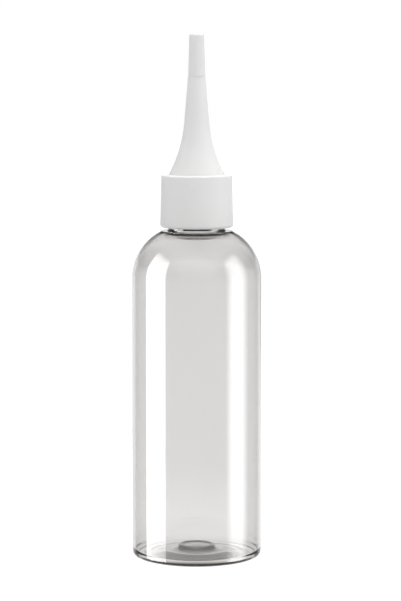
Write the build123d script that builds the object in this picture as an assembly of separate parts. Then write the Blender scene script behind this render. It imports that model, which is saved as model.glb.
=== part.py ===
from build123d import *
import math
import os

# Squeeze bottle for dispensing liquid by the drop: a clear blown bottle with a 20-410 screw neck,
# a one-piece white screw cap with a long conical nozzle, a foam sealing washer inside the cap, and
# a small push-on cap over the nozzle's tip.  Millimetres, +Z up.  The origin is the centre of the
# ring that the bottle stands on.

# Body of the bottle
body_radius = 19.85
body_wall = 0.7
heel_radius = 1.6
shoulder_radius = 16.2
shoulder_start_z = 86.3

# Base: a flat ring to stand on, a low dome, and at its middle the thick disc around the moulding
# gate, which has a rim and a dent on top and a shallow well with the gate's nub underneath
base_thickness = 0.9
inner_heel_radius = 1.9
standing_ring_inner_radius = 16.2
dome_foot_radius = 13.2
dome_foot_z = 0.2
dome_top_radius = 7.2
dome_top_z = 1.4
gate_disc_foot_radius = 6.0
gate_disc_rim_radius = 5.3
gate_disc_rim_z = 3.6
gate_dent_radius = 4.1
gate_dent_z = 3.1
gate_well_radius = 4.2
gate_well_z = 1.6
gate_nub_radius = 1.5
gate_nub_drop = 0.4

# Neck, 20-410 finish: 20 mm nominal, one and a half turns of thread
neck_land_z = 100.95
neck_land_radius = 11.0
neck_radius = 8.775
neck_bore_radius = 6.7
neck_height = 13.95
neck_rim_z = neck_land_z + neck_height
neck_root_fillet = 0.5
rim_rounding = 0.3

# Inside of the shoulder, which is thicker than the body towards the neck, and thickest and flat
# underneath where the neck stands on it
inner_shoulder_radius = 14.9
inner_shoulder_start_z = 86.0
neck_underside_z = 99.4
neck_underside_fillet = 0.9

# Screw thread
thread_pitch = 3.175
thread_turns = 1.5
thread_depth = 1.05
thread_crest_width = 0.8
thread_flank_run = thread_depth * math.tan(math.radians(30))
thread_root_width = thread_crest_width + 2 * thread_flank_run
thread_root_overlap = 0.15
thread_start_below_rim = 0.94
neck_thread_top_z = neck_rim_z - thread_start_below_rim - thread_root_width / 2
neck_thread_z = neck_thread_top_z - thread_pitch * thread_turns
thread_side_play = 0.15
cap_thread_turns = 1.5
cap_thread_first_turn = -0.5

# Cap skirt and roof
skirt_bottom_z = 102.05
skirt_bottom_radius = 11.25
skirt_top_radius = 10.85
skirt_bottom_rounding = 0.85
skirt_inner_radius = 10.05
roof_top_z = 117.95
roof_underside_z = 116.2
roof_edge_rounding = 0.15
roof_line_below_top = 1.1
roof_line_depth = 0.06
roof_line_width = 0.16

# Nozzle: a flare that turns into a straight cone, then the seat of the tip cap and its spigot
flare_radius = 42.0
flare_top_z = 134.6
flare_top_radius = 3.76
nozzle_root_fillet = 0.8
nozzle_wall = 1.25
channel_root_radius = 6.3
channel_top_z = 147.4
channel_top_radius = 1.0
seat_z = 148.05
seat_radius = 2.66
seat_edge_rounding = 0.08
spigot_base_radius = 1.75
spigot_top_radius = 1.60
spigot_top_z = 158.5
spigot_top_rounding = 0.2
orifice_radius = 0.75
orifice_start_z = 149.4

# Tip cap
tip_cap_seam = 0.1
tip_cap_bottom_radius = 2.61
tip_cap_top_radius = 2.24
tip_cap_top_z = 160.85
tip_cap_top_rounding = 0.25
tip_cap_clearance = 0.05
tip_cap_socket_depth = 10.8
tip_pin_radius = 0.66
tip_pin_length = 1.2

# Sealing washer
washer_outer_radius = 9.95
washer_inner_radius = 6.55
washer_play = 0.05

FLAT_RIGHT = (1, 0)


def solid_of_revolution(outline_lines, rounded_corners=()):
    """Turn a closed half outline (radius, height) round the Z axis, after rounding some corners."""
    face = make_face(outline_lines)
    for corner, radius in rounded_corners:
        nearest = face.vertices().sort_by_distance(Vector(*corner))[0]
        face = fillet(nearest, radius)
    return revolve(Plane.XZ * face, axis=Axis.Z)


def helical_ridge(base_radius, tip_radius, base_width, tip_width, start_z, turns, start_turn=0.0):
    """A right-hand screw thread ridge with a trapezoid section, from base_radius to tip_radius."""
    path = Helix(pitch=thread_pitch, height=thread_pitch * turns, radius=base_radius)
    section_plane = Plane(origin=path @ 0, x_dir=(1, 0, 0), z_dir=path % 0)
    reach = tip_radius - base_radius
    section = make_face(
        Polyline(
            (0, -base_width / 2),
            (reach, -tip_width / 2),
            (reach, tip_width / 2),
            (0, base_width / 2),
            close=True,
        )
    )
    ridge = sweep(section_plane * section, path=path, is_frenet=True)
    return Pos(0, 0, start_z) * Rot(0, 0, 360 * start_turn) * ridge


def outer_end_cutter(turn, height):
    """A block beyond the plane that touches the neck, so that a thread's end fades into the neck."""
    depth = 3.0
    width = 16.0
    block = Box(depth, width, thread_pitch * 0.86, align=(Align.MIN, Align.CENTER, Align.CENTER))
    return Rot(0, 0, 360 * turn) * Pos(neck_radius, 0, height) * block


def inner_end_cutter(turn, height):
    """A cylinder that touches the skirt's bore, so that a thread's end fades into the skirt."""
    fade_angle = math.radians(25)
    crest = skirt_inner_radius - thread_depth
    reach = skirt_inner_radius - crest * math.cos(fade_angle)
    centre = (skirt_inner_radius**2 - crest**2) / (2 * reach)
    cutter = Cylinder(skirt_inner_radius - centre, thread_pitch * 0.86)
    return Rot(0, 0, 360 * turn) * Pos(centre, 0, height) * cutter


def neck_thread():
    base_radius = neck_radius - thread_root_overlap
    overlap_width = thread_root_width + 2 * thread_root_overlap * math.tan(math.radians(30))
    ridge = helical_ridge(
        base_radius,
        neck_radius + thread_depth,
        overlap_width,
        thread_crest_width,
        neck_thread_z,
        thread_turns,
    )
    ridge -= outer_end_cutter(0, neck_thread_z)
    ridge -= outer_end_cutter(thread_turns, neck_thread_z + thread_pitch * thread_turns)
    return ridge


def cap_thread():
    base_radius = skirt_inner_radius + thread_root_overlap
    overlap_width = thread_root_width + 2 * thread_root_overlap * math.tan(math.radians(30))
    crest_clearance = skirt_inner_radius - thread_depth - neck_radius
    width_of_both = thread_root_width + thread_crest_width - 2 * crest_clearance * math.tan(math.radians(30))
    centred_play = (thread_pitch - width_of_both) / 2
    groove_middle = neck_thread_z - thread_pitch / 2
    start_z = groove_middle + thread_pitch * cap_thread_first_turn + centred_play - thread_side_play
    ridge = helical_ridge(
        base_radius,
        skirt_inner_radius - thread_depth,
        overlap_width,
        thread_crest_width,
        start_z,
        cap_thread_turns,
        cap_thread_first_turn,
    )
    end_turn = cap_thread_first_turn + cap_thread_turns
    ridge -= inner_end_cutter(cap_thread_first_turn, start_z)
    ridge -= inner_end_cutter(end_turn, start_z + thread_pitch * cap_thread_turns)
    return ridge


def flat_ended_curve(start, end):
    """A smooth curve in a half outline from one point to another, level at both ends."""
    level = (math.copysign(1, end[0] - start[0]), 0)
    return Spline(start, end, tangents=[level, level])


def bottle():
    """Blown bottle: body, round shoulder, land, threaded neck and domed base."""
    shoulder_centre = (body_radius - shoulder_radius, shoulder_start_z)
    shoulder_end_angle = math.degrees(math.acos((neck_land_radius - shoulder_centre[0]) / shoulder_radius))
    shoulder = CenterArc(shoulder_centre, shoulder_radius, 0, shoulder_end_angle)

    gate_z = gate_well_z - gate_nub_drop
    well_slope = 0.1
    well_bottom = (gate_well_radius - well_slope, gate_well_z)
    well_edge = (gate_well_radius + well_slope, dome_top_z)
    standing_ring_outer_radius = body_radius - heel_radius
    outside = [
        Line((0, gate_z), (gate_nub_radius * 0.6, gate_z)),
        Line((gate_nub_radius * 0.6, gate_z), (gate_nub_radius, gate_well_z)),
        Line((gate_nub_radius, gate_well_z), well_bottom),
        Line(well_bottom, well_edge),
        Line(well_edge, (dome_top_radius, dome_top_z)),
        flat_ended_curve((dome_top_radius, dome_top_z), (dome_foot_radius, dome_foot_z)),
        flat_ended_curve((dome_foot_radius, dome_foot_z), (standing_ring_inner_radius, 0)),
        Line((standing_ring_inner_radius, 0), (standing_ring_outer_radius, 0)),
        TangentArc((standing_ring_outer_radius, 0), (body_radius, heel_radius), tangent=FLAT_RIGHT),
        Line((body_radius, heel_radius), (body_radius, shoulder_start_z)),
        shoulder,
        Line(shoulder @ 1, (neck_land_radius, neck_land_z)),
        Line((neck_land_radius, neck_land_z), (neck_radius, neck_land_z)),
        Line((neck_radius, neck_land_z), (neck_radius, neck_rim_z)),
        Line((neck_radius, neck_rim_z), (neck_bore_radius, neck_rim_z)),
    ]

    inner_radius = body_radius - body_wall
    inner_centre = (inner_radius - inner_shoulder_radius, inner_shoulder_start_z)
    meeting_angle = math.degrees(math.asin((neck_underside_z - inner_centre[1]) / inner_shoulder_radius))
    inner_shoulder = CenterArc(inner_centre, inner_shoulder_radius, 0, meeting_angle)
    inner_floor_radius = inner_radius - inner_heel_radius
    floor_foot = (dome_foot_radius, dome_foot_z + base_thickness)
    floor_top = (dome_top_radius, dome_top_z + base_thickness)
    disc_foot = (gate_disc_foot_radius, dome_top_z + base_thickness)
    inside = [
        Line((neck_bore_radius, neck_rim_z), (neck_bore_radius, neck_underside_z)),
        Line((neck_bore_radius, neck_underside_z), inner_shoulder @ 1),
        inner_shoulder,
        Line((inner_radius, inner_shoulder_start_z), (inner_radius, base_thickness + inner_heel_radius)),
        TangentArc(
            (inner_radius, base_thickness + inner_heel_radius),
            (inner_floor_radius, base_thickness),
            tangent=(0, -1),
        ),
        flat_ended_curve((inner_floor_radius, base_thickness), floor_foot),
        flat_ended_curve(floor_foot, floor_top),
        Line(floor_top, disc_foot),
        Line(disc_foot, (gate_disc_rim_radius, gate_disc_rim_z)),
        Line((gate_disc_rim_radius, gate_disc_rim_z), (gate_dent_radius, gate_dent_z)),
        Line((gate_dent_radius, gate_dent_z), (0, gate_dent_z)),
        Line((0, gate_dent_z), (0, gate_z)),
    ]
    rounded_corners = [
        ((neck_land_radius, neck_land_z), 0.12),
        ((neck_radius, neck_land_z), neck_root_fillet),
        ((neck_radius, neck_rim_z), rim_rounding),
        ((neck_bore_radius, neck_rim_z), rim_rounding),
        ((neck_bore_radius, neck_underside_z), neck_underside_fillet),
        (disc_foot, 0.3),
        ((gate_disc_rim_radius, gate_disc_rim_z), 0.4),
        ((gate_dent_radius, gate_dent_z), 0.2),
    ]
    shell = solid_of_revolution(outside + inside, rounded_corners)
    return shell + neck_thread()


def flare_surface(radius, height):
    """Radius of the nozzle's flare at a height, for a flare arc of the given radius."""
    cone_lean = math.atan2(flare_top_radius - seat_radius, seat_z - flare_top_z)
    centre_radius = flare_top_radius + flare_radius * math.cos(cone_lean)
    centre_z = flare_top_z + flare_radius * math.sin(cone_lean)
    return centre_radius - math.sqrt(radius**2 - (centre_z - height) ** 2), centre_radius, centre_z


def nozzle_cap():
    """Screw cap: threaded skirt, roof and long hollow nozzle in one moulding."""
    root_radius = flare_surface(flare_radius, roof_top_z)[0]
    middle_z = (roof_top_z + flare_top_z) / 2
    roof_line_z = roof_top_z - roof_line_below_top
    line_top_z = roof_line_z + roof_line_width / 2
    line_bottom_z = roof_line_z - roof_line_width / 2
    outside = [
        Line((skirt_inner_radius, skirt_bottom_z), (skirt_bottom_radius, skirt_bottom_z)),
        Line((skirt_bottom_radius, skirt_bottom_z), (skirt_top_radius, line_bottom_z)),
        Line((skirt_top_radius, line_bottom_z), (skirt_top_radius - roof_line_depth, roof_line_z)),
        Line((skirt_top_radius - roof_line_depth, roof_line_z), (skirt_top_radius, line_top_z)),
        Line((skirt_top_radius, line_top_z), (skirt_top_radius, roof_top_z)),
        Line((skirt_top_radius, roof_top_z), (root_radius, roof_top_z)),
        ThreePointArc(
            (root_radius, roof_top_z),
            (flare_surface(flare_radius, middle_z)[0], middle_z),
            (flare_top_radius, flare_top_z),
        ),
        Line((flare_top_radius, flare_top_z), (seat_radius, seat_z)),
        Line((seat_radius, seat_z), (spigot_base_radius, seat_z)),
        Line((spigot_base_radius, seat_z), (spigot_top_radius, spigot_top_z)),
        Line((spigot_top_radius, spigot_top_z), (orifice_radius, spigot_top_z)),
    ]

    channel_arc = flare_radius + nozzle_wall
    channel_flare_radius, centre_radius, centre_z = flare_surface(channel_arc, flare_top_z)
    channel_root_z = centre_z - math.sqrt(channel_arc**2 - (centre_radius - channel_root_radius) ** 2)
    channel_middle_z = (channel_root_z + flare_top_z) / 2
    inside = [
        Line((orifice_radius, spigot_top_z), (orifice_radius, orifice_start_z)),
        Line((orifice_radius, orifice_start_z), (channel_top_radius, channel_top_z)),
        Line((channel_top_radius, channel_top_z), (channel_flare_radius, flare_top_z)),
        ThreePointArc(
            (channel_flare_radius, flare_top_z),
            (flare_surface(channel_arc, channel_middle_z)[0], channel_middle_z),
            (channel_root_radius, channel_root_z),
        ),
        Line((channel_root_radius, channel_root_z), (channel_root_radius, roof_underside_z)),
        Line((channel_root_radius, roof_underside_z), (skirt_inner_radius, roof_underside_z)),
        Line((skirt_inner_radius, roof_underside_z), (skirt_inner_radius, skirt_bottom_z)),
    ]
    rounded_corners = [
        ((skirt_bottom_radius, skirt_bottom_z), skirt_bottom_rounding),
        ((skirt_top_radius, roof_top_z), roof_edge_rounding),
        ((root_radius, roof_top_z), nozzle_root_fillet),
        ((seat_radius, seat_z), seat_edge_rounding),
        ((spigot_top_radius, spigot_top_z), spigot_top_rounding),
    ]
    shell = solid_of_revolution(outside + inside, rounded_corners)
    return shell + cap_thread()


def sealing_washer():
    """Flat foam ring between the neck's rim and the cap's roof."""
    bottom = neck_rim_z + washer_play
    top = roof_underside_z - washer_play
    ring = Cylinder(washer_outer_radius, top - bottom, align=(Align.CENTER, Align.CENTER, Align.MIN))
    hole = Cylinder(washer_inner_radius, top - bottom, align=(Align.CENTER, Align.CENTER, Align.MIN))
    return Pos(0, 0, bottom) * (ring - hole)


def tip_cap():
    """Small cap that pushes over the spigot, with a pin that plugs the orifice."""
    bottom_z = seat_z + tip_cap_seam
    ceiling_z = bottom_z + tip_cap_socket_depth
    socket_bottom_radius = spigot_base_radius + tip_cap_clearance
    socket_top_radius = spigot_top_radius + tip_cap_clearance
    pin_tip_z = ceiling_z - tip_pin_length
    outline = [
        Line((0, tip_cap_top_z), (tip_cap_top_radius, tip_cap_top_z)),
        Line((tip_cap_top_radius, tip_cap_top_z), (tip_cap_bottom_radius, bottom_z)),
        Line((tip_cap_bottom_radius, bottom_z), (socket_bottom_radius, bottom_z)),
        Line((socket_bottom_radius, bottom_z), (socket_top_radius, ceiling_z)),
        Line((socket_top_radius, ceiling_z), (tip_pin_radius, ceiling_z)),
        Line((tip_pin_radius, ceiling_z), (tip_pin_radius, pin_tip_z)),
        Line((tip_pin_radius, pin_tip_z), (0, pin_tip_z)),
        Line((0, pin_tip_z), (0, tip_cap_top_z)),
    ]
    rounded_corners = [
        ((tip_cap_top_radius, tip_cap_top_z), tip_cap_top_rounding),
        ((tip_cap_bottom_radius, bottom_z), seat_edge_rounding),
        ((tip_pin_radius, pin_tip_z), 0.15),
    ]
    return solid_of_revolution(outline, rounded_corners)


nodes = {
    "bottle": bottle,
    "nozzle_cap": nozzle_cap,
    "sealing_washer": sealing_washer,
    "tip_cap": tip_cap,
}

os.makedirs("parts", exist_ok=True)
for name, make in nodes.items():
    export_step(make(), f"parts/{name}.step")
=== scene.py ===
import math

import bpy
import numpy as np
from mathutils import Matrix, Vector


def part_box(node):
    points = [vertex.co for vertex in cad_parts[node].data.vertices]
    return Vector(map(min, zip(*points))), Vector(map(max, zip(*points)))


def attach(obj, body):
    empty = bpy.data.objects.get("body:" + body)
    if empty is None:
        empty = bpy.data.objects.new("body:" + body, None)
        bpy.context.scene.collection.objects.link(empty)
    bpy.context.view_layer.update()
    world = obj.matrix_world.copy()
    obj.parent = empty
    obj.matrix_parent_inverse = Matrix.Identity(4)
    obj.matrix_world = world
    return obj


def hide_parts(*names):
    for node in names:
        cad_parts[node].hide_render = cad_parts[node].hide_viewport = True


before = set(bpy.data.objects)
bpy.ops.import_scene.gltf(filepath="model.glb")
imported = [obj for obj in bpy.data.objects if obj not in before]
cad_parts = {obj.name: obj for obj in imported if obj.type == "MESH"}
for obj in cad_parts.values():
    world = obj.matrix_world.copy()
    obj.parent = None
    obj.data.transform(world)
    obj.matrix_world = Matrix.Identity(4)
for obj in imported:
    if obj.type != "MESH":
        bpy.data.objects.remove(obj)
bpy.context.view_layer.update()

# One millimetre in metres
MM = 0.001

# ---------------------------------------------------------------- sizes, in millimetres


def span(node):
    """A node's outer radius and its lowest and highest point, in millimetres."""
    low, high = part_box(node)
    return (high.x - low.x) / 2 / MM, low.z / MM, high.z / MM


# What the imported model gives
body_radius, _, rim_z = span("bottle")
skirt_radius, skirt_bottom_z, spigot_top_z = span("nozzle_cap")
washer_radius, washer_bottom_z, washer_top_z = span("sealing_washer")
tip_cap_radius, tip_cap_bottom_z, tip_cap_top_z = span("tip_cap")

# Bottle
body_wall = 0.7
heel_radius = 1.6
shoulder_radius = 16.2
shoulder_start_z = 86.3
standing_ring_radius = 16.2
inner_heel_radius = 1.9
dome_foot_radius = 13.2
dome_foot_z = 0.2
dome_top_radius = 7.2
dome_top_z = 1.4
gate_disc_foot_radius = 6.0
gate_disc_rim_radius = 5.3
gate_disc_rim_z = 3.6
gate_dent_radius = 4.1
gate_dent_z = 3.1
gate_well_radius = 4.2
gate_well_z = 1.6
gate_nub_radius = 1.5
gate_nub_drop = 0.4
gate_nub_slope = 0.5
gate_well_slope = 0.1
base_thickness = 0.9
neck_height = 13.95
neck_land_z = rim_z - neck_height
neck_land_radius = 11.0
neck_radius = 8.775
neck_bore_radius = 6.7
inner_shoulder_radius = 14.9
inner_shoulder_start_z = 86.0
neck_underside_z = 99.4
neck_underside_rounding = 0.9
mould_seam_height = 0.03
mould_seam_half_width = 0.07
# Depth, waves round the body, start in radians, drift in radians per millimetre of height
wall_ripple_waves = (
    (0.030, 2, 0.9, 0.012),
    (0.016, 3, 2.1, -0.035),
    (0.008, 7, 0.4, 0.050),
    (0.004, 16, 1.3, -0.030),
)

# Screw thread
thread_pitch = 3.175
thread_turns = 1.5
thread_depth = 1.05
thread_crest_half = 0.4
thread_root_half = 1.0
thread_fade_turns = 25 / 360
thread_start_below_rim = 0.94
neck_thread_z = rim_z - thread_start_below_rim - thread_root_half - thread_pitch * thread_turns
cap_thread_first_turn = -0.5
cap_thread_above_groove_middle = 0.16
cap_thread_lead = cap_thread_above_groove_middle - thread_pitch / 2

# Screw cap and nozzle
skirt_inner_radius = 10.05
skirt_top_radius = 10.85
roof_top_z = 117.95
roof_underside_z = 116.2
roof_line_below_top = 1.1
roof_line_half_height = 0.1
roof_line_depth = 0.05
flare_radius = 42.0
flare_top_z = 134.6
flare_top_radius = 3.76
nozzle_wall = 1.25
channel_root_radius = 6.3
channel_top_z = 147.4
channel_top_radius = 1.0
channel_taper_height = 2.0
seat_z = 148.05
seat_radius = 2.66
spigot_base_radius = 1.75
spigot_top_radius = 1.60
orifice_radius = 0.75

# Tip cap and washer
tip_cap_top_radius = 2.24
tip_cap_clearance = 0.05
tip_cap_seam = 0.02
tip_cap_socket_depth = 10.8
tip_cap_gate_radius = 0.62
tip_cap_gate_slope = 0.12
tip_cap_gate_depth = 0.06
tip_pin_radius = 0.66
tip_pin_length = 1.2
washer_inner_radius = 6.55

# How far apart the mesh rows lie
thread_step = 0.14
bottle_step = 1.6
cap_step = 1.2
small_piece_step = 0.8

# ---------------------------------------------------------------- studio light

# Brightness of the studio's surfaces, where the white that the camera sees is 1
white = 1.0
room_lighting = 0.27
room_mirrored = 0.1
back_wall_mirrored = 1.0
ceiling_mirrored = 2.2
table_mirrored = 1.0
table_strip_mirrored = 2.2
back_flags_mirrored = 0.1
side_flags_seen_through = 0.1
table_glow = 0.97
# How brightly the painted shadow under the bottle glows
shade_glow = 0.02

# Lengths in metres
table_half_width = 3.0
# The painted shadow on the table: its middle, a little towards the camera, where it is fully dark,
# and where it ends
shade_middle = (0, -0.0045, 0)
shade_dark_radius = 0.0115
shade_end_radius = 0.0155
softbox_bottom_z = -0.5
softbox_top_z = 0.70
softbox_top_fade = 0.25


# ---------------------------------------------------------------- outlines


def arc_corners(centre, radius, start_deg, end_deg, count):
    """Corners along a circular arc, without rounding."""
    corners = []
    for angle in np.radians(np.linspace(start_deg, end_deg, count)):
        across = centre[0] + radius * math.cos(angle)
        up = centre[1] + radius * math.sin(angle)
        corners.append((across, up, 0.0))
    return corners


def round_off(corners, arc_steps=6):
    """Outline points from corners (radius, height, rounding): each rounding becomes an arc."""
    points = []
    for index, (radius, height, rounding) in enumerate(corners):
        here = Vector((radius, height))
        if rounding == 0:
            points.append(here)
            continue
        to_last = (Vector(corners[index - 1][:2]) - here).normalized()
        to_next = (Vector(corners[(index + 1) % len(corners)][:2]) - here).normalized()
        half_angle = to_last.angle(to_next) / 2
        centre = here + (to_last + to_next).normalized() * rounding / math.sin(half_angle)
        reach = rounding / math.tan(half_angle)
        start = here + to_last * reach - centre
        end = here + to_next * reach - centre
        sweep = start.angle(end)
        for step in range(arc_steps + 1):
            part = step / arc_steps
            blend = start * math.sin((1 - part) * sweep) + end * math.sin(part * sweep)
            points.append(centre + blend / math.sin(sweep))
    return points


def divide(points, step_at, closed=False, support=0.12):
    """Adds points along the straight runs: one close to each end, and the rest step_at() apart."""
    divided = []
    ends = points[1:] + points[:1] if closed else points[1:]
    for start, end in zip(points, ends):
        divided.append(start)
        length = (end - start).length
        if length < 4 * support:
            continue
        first = start + (end - start) * support / length
        last = end - (end - start) * support / length
        middle = (start + end) / 2
        pieces = max(1, math.ceil((last - first).length / step_at(middle.x, middle.y)))
        for piece in range(pieces + 1):
            divided.append(first.lerp(last, piece / pieces))
    if not closed:
        divided.append(points[-1])
    return divided


def smooth_step(part):
    """0 to 1, with a flat start and a flat end."""
    return part * part * (3 - 2 * part)


def even_angles(count):
    """Angles spaced evenly round one turn, in radians."""
    return np.linspace(0, 2 * math.pi, count, endpoint=False)


def lathe(name, points, closed, angles, body, node, material, detail=None):
    """A mesh turned about Z from outline points; detail() gives what to add to a row's radii."""
    vertices = []
    rows = []
    for index, point in enumerate(points):
        if point.x < 1e-6:
            rows.append([len(vertices)])
            vertices.append((0.0, 0.0, point.y * MM))
            continue
        radii = np.full(len(angles), point.x)
        if detail is not None:
            radii = radii + detail(point.x, point.y, angles, index)
        start = len(vertices)
        rows.append(list(range(start, start + len(angles))))
        for radius, angle in zip(radii, angles):
            x = radius * math.cos(angle) * MM
            y = radius * math.sin(angle) * MM
            vertices.append((x, y, point.y * MM))
    faces = []
    pairs = list(zip(rows, rows[1:] + rows[:1])) if closed else list(zip(rows, rows[1:]))
    for low, high in pairs:
        for column in range(len(angles)):
            following = (column + 1) % len(angles)
            if len(low) == 1:
                faces.append((low[0], high[following], high[column]))
            elif len(high) == 1:
                faces.append((low[column], low[following], high[0]))
            else:
                faces.append((low[column], low[following], high[following], high[column]))
    mesh = bpy.data.meshes.new(name)
    mesh.from_pydata(vertices, [], faces)
    mesh.validate()
    mesh.polygons.foreach_set("use_smooth", [True] * len(mesh.polygons))
    mesh.update()
    piece = bpy.data.objects.new(name, mesh)
    bpy.context.scene.collection.objects.link(piece)
    mesh.materials.append(material)
    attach(piece, body)
    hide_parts(node)


def thread_height(height, angles, base_z, first_turn):
    """How far a helical thread stands up at one height, for each angle."""
    up = np.zeros(len(angles))
    for whole_turn in range(-2, 4):
        turn = angles / (2 * math.pi) + whole_turn
        from_middle = np.abs(height - (base_z + thread_pitch * turn))
        flank = (thread_root_half - from_middle) / (thread_root_half - thread_crest_half)
        ridge = smooth_step(np.clip(flank, 0, 1))
        fade_in = np.clip((turn - first_turn) / thread_fade_turns, 0, 1)
        fade_out = np.clip((first_turn + thread_turns - turn) / thread_fade_turns, 0, 1)
        up = np.maximum(up, ridge * np.sqrt(fade_in * fade_out) * thread_depth)
    return up


def angles_with_seams(count, seam_angles, radius):
    """Evenly spaced angles, with extra ones close to each mould seam."""
    offsets = (-0.22, -0.12, -0.06, 0.0, 0.06, 0.12, 0.22)
    angles = list(even_angles(count))
    for seam in seam_angles:
        for offset in offsets:
            angles.append((seam + offset / radius) % (2 * math.pi))
    return np.array(sorted(set(np.round(angles, 9))))


# ---------------------------------------------------------------- materials


def new_material(name):
    """A material with nodes: returns it, its nodes, its links and its main shader."""
    material = bpy.data.materials.new(name)
    material.use_nodes = True
    nodes = material.node_tree.nodes
    shader = nodes["Principled BSDF"]
    return material, nodes, material.node_tree.links, shader


def add_noise(nodes, links, scale, detail, stretch=(1, 1, 1)):
    """A noise texture in object space, in metres; stretch scales each axis."""
    place = nodes.new("ShaderNodeTexCoord")
    mapping = nodes.new("ShaderNodeMapping")
    mapping.inputs["Scale"].default_value = stretch
    noise = nodes.new("ShaderNodeTexNoise")
    noise.inputs["Scale"].default_value = scale
    noise.inputs["Detail"].default_value = detail
    links.new(place.outputs["Object"], mapping.inputs["Vector"])
    links.new(mapping.outputs["Vector"], noise.inputs["Vector"])
    return noise


def add_range(nodes, links, source, low, high):
    """Maps a 0 to 1 value to low to high."""
    remap = nodes.new("ShaderNodeMapRange")
    remap.inputs["To Min"].default_value = low
    remap.inputs["To Max"].default_value = high
    links.new(source, remap.inputs["Value"])
    return remap.outputs["Result"]


def blend_values(nodes, links, first, second, factor):
    """A value that goes from first to second; each of the three is a number or a socket."""
    mix = nodes.new("ShaderNodeMix")
    for name, value in (("A", first), ("B", second), ("Factor", factor)):
        if isinstance(value, (int, float)):
            mix.inputs[name].default_value = value
        else:
            links.new(value, mix.inputs[name])
    return mix.outputs["Result"]


def ramp(nodes, links, source, start, end):
    """0 below start, 1 above end, and smooth between them."""
    step = nodes.new("ShaderNodeMapRange")
    step.interpolation_type = "SMOOTHSTEP"
    step.inputs["From Min"].default_value = start
    step.inputs["From Max"].default_value = end
    links.new(source, step.inputs["Value"])
    return step.outputs["Result"]


def blend_colours(nodes, links, first, second, factor):
    """A colour that goes from first to second with a socket's value."""
    mix = nodes.new("ShaderNodeMix")
    mix.data_type = "RGBA"
    mix.inputs[6].default_value = (*first, 1)
    mix.inputs[7].default_value = (*second, 1)
    links.new(factor, mix.inputs["Factor"])
    return mix.outputs[2]


def add_bump(nodes, links, shader, height, strength, distance):
    """Relief on a shader from a socket's value, distance metres deep."""
    bump = nodes.new("ShaderNodeBump")
    bump.inputs["Strength"].default_value = strength
    bump.inputs["Distance"].default_value = distance
    links.new(height, bump.inputs["Height"])
    links.new(bump.outputs["Normal"], shader.inputs["Normal"])


def product(nodes, links, first, *others):
    """Sockets from 0 to 1 multiplied together."""
    result = first
    for other in others:
        result = blend_values(nodes, links, 0.0, result, other)
    return result


def clear_plastic():
    """Blown PET: clear, glossy, faintly grey, with the slight ripple that blowing leaves."""
    material, nodes, links, shader = new_material("clear_pet")
    shader.inputs["Base Color"].default_value = (0.855, 0.855, 0.855, 1)
    shader.inputs["Transmission Weight"].default_value = 1.0
    shader.inputs["IOR"].default_value = 1.575
    haze = add_noise(nodes, links, scale=60, detail=3)
    roughness = add_range(nodes, links, haze.outputs["Fac"], low=0.0, high=0.03)
    links.new(roughness, shader.inputs["Roughness"])
    ripple = add_noise(nodes, links, scale=90, detail=2, stretch=(1, 1, 0.25))
    add_bump(nodes, links, shader, ripple.outputs["Fac"], strength=0.25, distance=0.00003)
    absorption = nodes.new("ShaderNodeVolumeAbsorption")
    absorption.inputs["Color"].default_value = (0.54, 0.50, 0.465, 1)
    absorption.inputs["Density"].default_value = 250.0
    links.new(absorption.outputs["Volume"], nodes["Material Output"].inputs["Volume"])
    return material


def white_plastic(name, tone):
    """Moulded polyolefin: white, satin, a little translucent, with a fine spark-eroded grain."""
    material, nodes, links, shader = new_material(name)
    mottle = add_noise(nodes, links, scale=220, detail=4)
    dull = (tone * 0.985, tone * 0.985, tone * 0.98)
    bright = (tone, tone, tone * 0.998)
    colour = blend_colours(nodes, links, dull, bright, mottle.outputs["Fac"])
    links.new(colour, shader.inputs["Base Color"])
    sheen = add_noise(nodes, links, scale=900, detail=3)
    roughness = add_range(nodes, links, sheen.outputs["Fac"], low=0.48, high=0.62)
    links.new(roughness, shader.inputs["Roughness"])
    shader.inputs["IOR"].default_value = 1.49
    shader.inputs["Specular IOR Level"].default_value = 0.08
    shader.inputs["Subsurface Weight"].default_value = 0.35
    shader.inputs["Subsurface Radius"].default_value = (1.0, 0.95, 0.9)
    shader.inputs["Subsurface Scale"].default_value = 0.0012
    grain = add_noise(nodes, links, scale=6500, detail=3)
    add_bump(nodes, links, shader, grain.outputs["Fac"], strength=0.12, distance=0.00002)
    return material


def foam():
    """Closed-cell foam: matt white with fine cells."""
    material, nodes, links, shader = new_material("white_foam")
    cells = nodes.new("ShaderNodeTexVoronoi")
    cells.inputs["Scale"].default_value = 3500
    place = nodes.new("ShaderNodeTexCoord")
    links.new(place.outputs["Object"], cells.inputs["Vector"])
    from_cell_middle = cells.outputs["Distance"]
    colour = blend_colours(nodes, links, (0.9, 0.9, 0.88), (0.8, 0.8, 0.79), from_cell_middle)
    links.new(colour, shader.inputs["Base Color"])
    roughness = add_range(nodes, links, from_cell_middle, low=0.7, high=0.95)
    links.new(roughness, shader.inputs["Roughness"])
    add_bump(nodes, links, shader, from_cell_middle, strength=0.6, distance=0.00006)
    return material


# ---------------------------------------------------------------- pieces


def rise(start, end, count):
    """Corners of a smooth S between two (radius, height) points, without the first."""
    corners = []
    for part in np.linspace(0, 1, count)[1:]:
        across = start[0] + (end[0] - start[0]) * part
        up = start[1] + (end[1] - start[1]) * smooth_step(part)
        corners.append((across, up, 0))
    return corners


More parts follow.
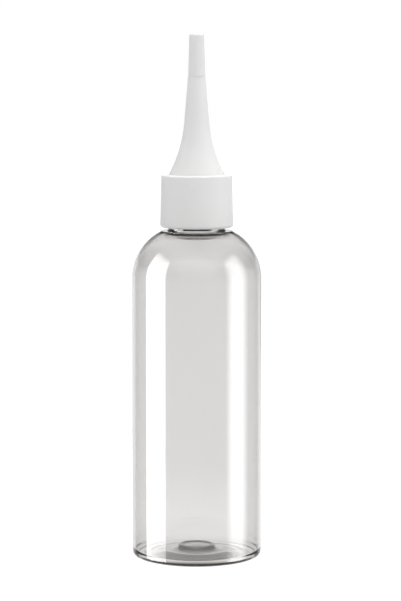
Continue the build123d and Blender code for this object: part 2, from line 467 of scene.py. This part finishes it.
def bottle_corners():
    """The half outline of the bottle, from the gate up the outside and down the inside."""
    corners = [
        (0, gate_well_z - gate_nub_drop, 0),
        (gate_nub_radius - gate_nub_slope, gate_well_z - gate_nub_drop, 0.15),
        (gate_nub_radius, gate_well_z, 0.15),
        (gate_well_radius - gate_well_slope, gate_well_z, 0.2),
        (gate_well_radius + gate_well_slope, dome_top_z, 0.2),
        (dome_top_radius, dome_top_z, 0),
    ]
    dome_top = (dome_top_radius, dome_top_z)
    dome_foot = (dome_foot_radius, dome_foot_z)
    corners += rise(dome_top, dome_foot, 16)
    corners += rise(dome_foot, (standing_ring_radius, 0), 6)
    corners += arc_corners((body_radius - heel_radius, heel_radius), heel_radius, -90, 0, 14)
    centre = (body_radius - shoulder_radius, shoulder_start_z)
    end_angle = math.degrees(math.acos((neck_land_radius - centre[0]) / shoulder_radius))
    corners += arc_corners(centre, shoulder_radius, 0, end_angle, 34)
    corners += [
        (neck_land_radius, neck_land_z, 0.1),
        (neck_radius, neck_land_z, 0.5),
        (neck_radius, rim_z, 0.3),
        (neck_bore_radius, rim_z, 0.3),
    ]

    inner_radius = body_radius - body_wall
    inner_centre = (inner_radius - inner_shoulder_radius, inner_shoulder_start_z)
    meeting_rise = neck_underside_z - inner_centre[1]
    meeting_angle = math.degrees(math.asin(meeting_rise / inner_shoulder_radius))
    corners += [(neck_bore_radius, neck_underside_z, neck_underside_rounding)]
    corners += arc_corners(inner_centre, inner_shoulder_radius, meeting_angle, 0, 34)
    floor_radius = inner_radius - inner_heel_radius
    heel_centre = (floor_radius, base_thickness + inner_heel_radius)
    inner_dome_foot = (dome_foot_radius, dome_foot_z + base_thickness)
    inner_dome_top = (dome_top_radius, dome_top_z + base_thickness)
    corners += arc_corners(heel_centre, inner_heel_radius, 0, -90, 12)
    corners += rise((floor_radius, base_thickness), inner_dome_foot, 6)
    corners += rise(inner_dome_foot, inner_dome_top, 16)
    corners += [
        (gate_disc_foot_radius, dome_top_z + base_thickness, 0.3),
        (gate_disc_rim_radius, gate_disc_rim_z, 0.4),
        (gate_dent_radius, gate_dent_z, 0.2),
        (0, gate_dent_z, 0),
    ]
    return corners


def wall_ripple(height, angles):
    """How unevenly blowing thins the wall: waves round the body that drift with the height."""
    ripple = np.zeros(len(angles))
    for depth, waves, start, drift in wall_ripple_waves:
        ripple += depth * np.sin(waves * angles + start + height * drift)
    return ripple


def make_bottle():
    """The bottle, with its thread and mould seams outside and the ripple of blowing inside."""
    thread_bottom_z = neck_land_z + 1
    thread_top_z = rim_z - 0.4
    seam_bottom_z = heel_radius / 2
    seam_top_z = neck_land_z - 0.5
    ripple_bottom_z = base_thickness * 3
    ripple_top_z = neck_land_z - 3
    ripple_bottom_fade = 10
    ripple_top_fade = 8

    def step_at(radius, height):
        on_thread = height > thread_bottom_z and radius > neck_radius - 0.1
        return thread_step if on_thread else bottle_step

    points = divide(round_off(bottle_corners()), step_at)
    first_inside = max(range(len(points)), key=lambda i: points[i].y)

    def detail(radius, height, angles, index):
        outside = index < first_inside
        if outside and thread_bottom_z < height < thread_top_z:
            return thread_height(height, angles, neck_thread_z, 0)
        if outside and seam_bottom_z < height < seam_top_z:
            from_seam = np.abs(np.sin(angles)) * radius / mould_seam_half_width
            return mould_seam_height * np.exp(-(np.minimum(from_seam, 3) ** 2))
        if not outside and ripple_bottom_z < height < ripple_top_z:
            from_bottom = (height - ripple_bottom_z) / ripple_bottom_fade
            from_top = (ripple_top_z - height) / ripple_top_fade
            return wall_ripple(height, angles) * min(1, from_bottom, from_top)
        return np.zeros(len(angles))

    lathe(
        "bottle_shell",
        points,
        closed=False,
        angles=angles_with_seams(240, (0, math.pi), body_radius),
        detail=detail,
        body="bottle",
        node="bottle",
        material=clear_plastic(),
    )


def radius_on_flare(arc_radius, height):
    """Radius of an arc that shares its centre with the nozzle's flare, at a height."""
    lean = math.atan2(flare_top_radius - seat_radius, seat_z - flare_top_z)
    centre_radius = flare_top_radius + flare_radius * math.cos(lean)
    centre_z = flare_top_z + flare_radius * math.sin(lean)
    return centre_radius - math.sqrt(arc_radius**2 - (centre_z - height) ** 2)


def nozzle_corners():
    """The half outline of the cap and nozzle, up the outside and down the channel inside."""
    line_z = roof_top_z - roof_line_below_top
    flare_foot_z = roof_top_z + 1.2
    corners = [
        (skirt_inner_radius, skirt_bottom_z, 0.2),
        (skirt_radius, skirt_bottom_z, 0.85),
        (skirt_top_radius, line_z - roof_line_half_height, 0),
        (skirt_top_radius - roof_line_depth, line_z, 0),
        (skirt_top_radius, line_z + roof_line_half_height, 0),
        (skirt_top_radius, roof_top_z, 0.15),
        (radius_on_flare(flare_radius, roof_top_z), roof_top_z, 0.8),
    ]
    for height in np.linspace(flare_foot_z, flare_top_z, 16):
        corners.append((radius_on_flare(flare_radius, height), height, 0))
    corners += [
        (seat_radius, seat_z, 0.04),
        (spigot_base_radius, seat_z, 0.08),
        (spigot_top_radius, spigot_top_z, 0.2),
        (orifice_radius, spigot_top_z, 0.1),
        (orifice_radius, channel_top_z + channel_taper_height, 0),
        (channel_top_radius, channel_top_z, 0),
    ]
    channel_arc = flare_radius + nozzle_wall
    root_z = roof_underside_z
    while radius_on_flare(channel_arc, root_z) > channel_root_radius:
        root_z += 0.1
    for height in np.linspace(flare_top_z, root_z, 14):
        corners.append((radius_on_flare(channel_arc, height), height, 0))
    corners += [
        (channel_root_radius, root_z - 0.5, 0),
        (channel_root_radius, roof_underside_z, 0.2),
        (skirt_inner_radius, roof_underside_z, 0.2),
    ]
    return corners


def make_nozzle_cap():
    """The screw cap and its nozzle in one piece, with the thread inside the skirt."""
    thread_bottom_z = skirt_bottom_z + 0.3
    thread_top_z = roof_underside_z - 0.3

    def inside_skirt(radius):
        return abs(radius - skirt_inner_radius) < 0.01

    def step_at(radius, height):
        on_thread = inside_skirt(radius) and height < roof_underside_z
        return thread_step if on_thread else cap_step

    def detail(radius, height, angles, index):
        if inside_skirt(radius) and thread_bottom_z < height < thread_top_z:
            start_z = neck_thread_z + cap_thread_lead
            return -thread_height(height, angles, start_z, cap_thread_first_turn)
        return np.zeros(len(angles))

    points = divide(round_off(nozzle_corners()), step_at, closed=True)

    lathe(
        "nozzle_cap_moulding",
        points,
        closed=True,
        angles=even_angles(192),
        detail=detail,
        body="cap",
        node="nozzle_cap",
        material=white_plastic("white_cap", 0.79),
    )


def make_washer():
    """The flat foam ring under the cap's roof."""
    corners = [
        (washer_inner_radius, washer_bottom_z, 0.12),
        (washer_radius, washer_bottom_z, 0.12),
        (washer_radius, washer_top_z, 0.12),
        (washer_inner_radius, washer_top_z, 0.12),
    ]
    points = divide(round_off(corners), lambda radius, height: small_piece_step, closed=True)
    lathe(
        "washer_ring",
        points,
        closed=True,
        angles=even_angles(192),
        body="washer",
        node="sealing_washer",
        material=foam(),
    )


def make_tip_cap():
    """The small cap on the nozzle's tip, with a pin inside that plugs the orifice."""
    mouth_z = seat_z + tip_cap_seam
    ceiling_z = tip_cap_bottom_z + tip_cap_socket_depth
    corners = [
        (0, tip_cap_top_z - tip_cap_gate_depth, 0),
        (tip_cap_gate_radius - tip_cap_gate_slope, tip_cap_top_z - tip_cap_gate_depth, 0.05),
        (tip_cap_gate_radius, tip_cap_top_z, 0.05),
        (tip_cap_top_radius, tip_cap_top_z, 0.25),
        (tip_cap_radius, mouth_z, 0.04),
        (spigot_base_radius + tip_cap_clearance, mouth_z, 0.04),
        (spigot_top_radius + tip_cap_clearance, ceiling_z, 0.1),
        (tip_pin_radius, ceiling_z, 0.1),
        (tip_pin_radius, ceiling_z - tip_pin_length, 0.15),
        (0, ceiling_z - tip_pin_length, 0),
    ]
    points = divide(round_off(corners), lambda radius, height: small_piece_step)
    lathe(
        "tip_cap_moulding",
        points,
        closed=False,
        angles=even_angles(96),
        body="tip_cap",
        node="tip_cap",
        material=white_plastic("white_tip", 0.79),
    )


# ---------------------------------------------------------------- studio


def make_floor():
    """A pale, softly glowing table top, with a painted shadow under the bottle: a dark, warm round
    patch.

    The painted shadow lies a little towards the camera, and shows as the dark places in the
    bottle's base.
    """
    half = table_half_width
    corners = [(-half, -half, 0), (half, -half, 0), (half, half, 0), (-half, half, 0)]
    mesh = bpy.data.meshes.new("floor")
    mesh.from_pydata(corners, [], [(0, 1, 2, 3)])
    floor = bpy.data.objects.new("floor", mesh)
    bpy.context.scene.collection.objects.link(floor)
    material, nodes, links, shader = new_material("pale_floor")
    shader.inputs["Base Color"].default_value = (0.12, 0.12, 0.12, 1)
    shader.inputs["Roughness"].default_value = 0.9
    place = nodes.new("ShaderNodeTexCoord")
    distance = nodes.new("ShaderNodeVectorMath")
    distance.operation = "DISTANCE"
    distance.inputs[1].default_value = shade_middle
    links.new(place.outputs["Object"], distance.inputs[0])
    # lit is 0 in the painted shadow under the bottle and 1 on the rest of the table; the painted
    # shadow is also tinted warm
    lit = ramp(nodes, links, distance.outputs["Value"], shade_dark_radius, shade_end_radius)
    glow = blend_values(nodes, links, shade_glow, table_glow, lit)
    links.new(glow, shader.inputs["Emission Strength"])
    tint = blend_colours(nodes, links, (1.0, 0.84, 0.70), (1, 1, 1), lit)
    links.new(tint, shader.inputs["Emission Color"])
    mesh.materials.append(material)
    floor.visible_glossy = False


def make_world():
    """A studio that the camera sees as plain white, and that mirrors as its separate surfaces.

    In the object, the back wall, the ceiling and the table mirror bright, and the rest dark. Two
    dark flags stand high behind it, and a bright strip lies across the table in front of it. Two
    more flags, high beside it, show only through the clear plastic.
    """
    world = bpy.data.worlds.new("studio")
    bpy.context.scene.world = world
    world.use_nodes = True
    nodes = world.node_tree.nodes
    links = world.node_tree.links
    background = nodes["Background"]
    background.inputs["Color"].default_value = (1, 1, 1, 1)
    ray = nodes.new("ShaderNodeLightPath").outputs
    direction = nodes.new("ShaderNodeTexCoord")
    split = nodes.new("ShaderNodeSeparateXYZ")
    links.new(direction.outputs["Generated"], split.inputs["Vector"])
    backward = split.outputs["Y"]
    upward = split.outputs["Z"]
    absolute = nodes.new("ShaderNodeMath")
    absolute.operation = "ABSOLUTE"
    links.new(split.outputs["X"], absolute.inputs[0])
    sideways = absolute.outputs["Value"]

    # Where each surface starts and ends, in parts of a direction of length 1
    back_wall = ramp(nodes, links, backward, 0.69, 0.88)
    ceiling = ramp(nodes, links, upward, 0.05, 0.9)
    table = ramp(nodes, links, upward, -0.15, -0.3)
    in_front = ramp(nodes, links, backward, -0.25, -0.6)
    strip_far_edge = ramp(nodes, links, upward, -0.168, -0.2)
    strip_near_edge = ramp(nodes, links, upward, -0.27, -0.2)
    table_strip = product(nodes, links, strip_far_edge, strip_near_edge, in_front)
    beside = ramp(nodes, links, sideways, 0.45, 0.65)
    above = ramp(nodes, links, upward, 0.1, 0.3)
    side_flags = product(nodes, links, beside, above)
    flags_low_edge = ramp(nodes, links, upward, 0.05, 0.16)
    flags_high_edge = ramp(nodes, links, upward, 0.5, 0.35)
    flags_inner_edge = ramp(nodes, links, sideways, 0.08, 0.16)
    back_flags = product(nodes, links, flags_low_edge, flags_high_edge, flags_inner_edge, back_wall)

    mirrored = blend_values(nodes, links, room_mirrored, back_wall_mirrored, back_wall)
    mirrored = blend_values(nodes, links, mirrored, ceiling_mirrored, ceiling)
    mirrored = blend_values(nodes, links, mirrored, back_flags_mirrored, back_flags)
    mirrored = blend_values(nodes, links, mirrored, table_mirrored, table)
    mirrored = blend_values(nodes, links, mirrored, table_strip_mirrored, table_strip)
    seen_through = blend_values(nodes, links, white, side_flags_seen_through, side_flags)

    # A ray through clear plastic also counts as glossy, so transmission has the last word
    strength = blend_values(nodes, links, white, mirrored, ray["Is Glossy Ray"])
    strength = blend_values(nodes, links, strength, room_lighting, ray["Is Diffuse Ray"])
    strength = blend_values(nodes, links, strength, seen_through, ray["Is Transmission Ray"])
    links.new(strength, background.inputs["Strength"])


def glowing_panel(name, x, y, width, radiance, edge):
    """An upright softbox beside the object that fades to clear at its upright edges and its top."""
    facing_right = x < 0
    half = width / 2
    corners = [
        (0, -half, softbox_bottom_z),
        (0, half, softbox_bottom_z),
        (0, half, softbox_top_z),
        (0, -half, softbox_top_z),
    ]
    mesh = bpy.data.meshes.new(name)
    mesh.from_pydata(corners, [], [(0, 1, 2, 3) if facing_right else (3, 2, 1, 0)])
    panel = bpy.data.objects.new(name, mesh)
    bpy.context.scene.collection.objects.link(panel)
    panel.location = (x, y, 0)
    material, nodes, links, shader = new_material(name)
    nodes.remove(shader)
    place = nodes.new("ShaderNodeTexCoord")
    split = nodes.new("ShaderNodeSeparateXYZ")
    links.new(place.outputs["Object"], split.inputs["Vector"])
    from_middle = nodes.new("ShaderNodeMath")
    from_middle.operation = "ABSOLUTE"
    links.new(split.outputs["Y"], from_middle.inputs[0])
    side_fade = ramp(nodes, links, from_middle.outputs["Value"], half, half - edge)
    fade_z = softbox_top_z - softbox_top_fade
    top_fade = ramp(nodes, links, split.outputs["Z"], softbox_top_z, fade_z)
    clear = nodes.new("ShaderNodeBsdfTransparent")
    glow = nodes.new("ShaderNodeEmission")
    glow.inputs["Strength"].default_value = radiance
    soft_edge = nodes.new("ShaderNodeMixShader")
    links.new(product(nodes, links, side_fade, top_fade), soft_edge.inputs["Fac"])
    links.new(clear.outputs["BSDF"], soft_edge.inputs[1])
    links.new(glow.outputs["Emission"], soft_edge.inputs[2])
    links.new(soft_edge.outputs["Shader"], nodes["Material Output"].inputs["Surface"])
    mesh.materials.append(material)
    panel.visible_camera = False
    panel.visible_diffuse = False
    panel.visible_transmission = False
    panel.visible_shadow = False


def add_lamp(name, place, aim, size, radiance):
    """A square lamp that lights the white plastic and mirrors in nothing."""
    light = bpy.data.lights.new(name, "AREA")
    light.size = size
    light.energy = radiance * math.pi * size * size
    lamp = bpy.data.objects.new(name, light)
    bpy.context.scene.collection.objects.link(lamp)
    lamp.location = place
    lamp.rotation_euler = (Vector(aim) - Vector(place)).to_track_quat("-Z", "Y").to_euler()
    lamp.visible_camera = False
    lamp.visible_glossy = False
    lamp.visible_transmission = False


def make_lights():
    """Two softboxes that mirror in the bottle, and two lamps that light the white plastic."""
    glowing_panel("softbox_left", x=-0.6, y=-0.14, width=0.54, radiance=8.0, edge=0.03)
    glowing_panel("softbox_right", x=0.6, y=-0.16, width=0.66, radiance=7.0, edge=0.26)
    add_lamp("key_light", place=(0.85, -0.6, 0.35), aim=(0, 0, 0.12), size=0.5, radiance=1.45)
    add_lamp("top_light", place=(0.1, -0.1, 1.3), aim=(0, 0, 0.1), size=0.8, radiance=7.0)


def make_camera():
    """A camera a little above the nozzle's tip that looks down at the middle of the bottle."""
    distance = 0.780
    height = 0.1634
    side_step = 0.00116
    pitch_down = math.radians(6.15)
    focal_length_in_frame_heights = 4.24293
    data = bpy.data.cameras.new("camera")
    data.lens = focal_length_in_frame_heights * data.sensor_width
    camera = bpy.data.objects.new("camera", data)
    bpy.context.scene.collection.objects.link(camera)
    camera.location = (side_step, -distance, height)
    camera.rotation_euler = (math.pi / 2 - pitch_down, 0, 0)
    bpy.context.scene.camera = camera


make_camera()
make_bottle()
make_nozzle_cap()
make_washer()
make_tip_cap()
make_floor()
make_world()
make_lights()
bpy.context.scene.view_settings.view_transform = "Standard"
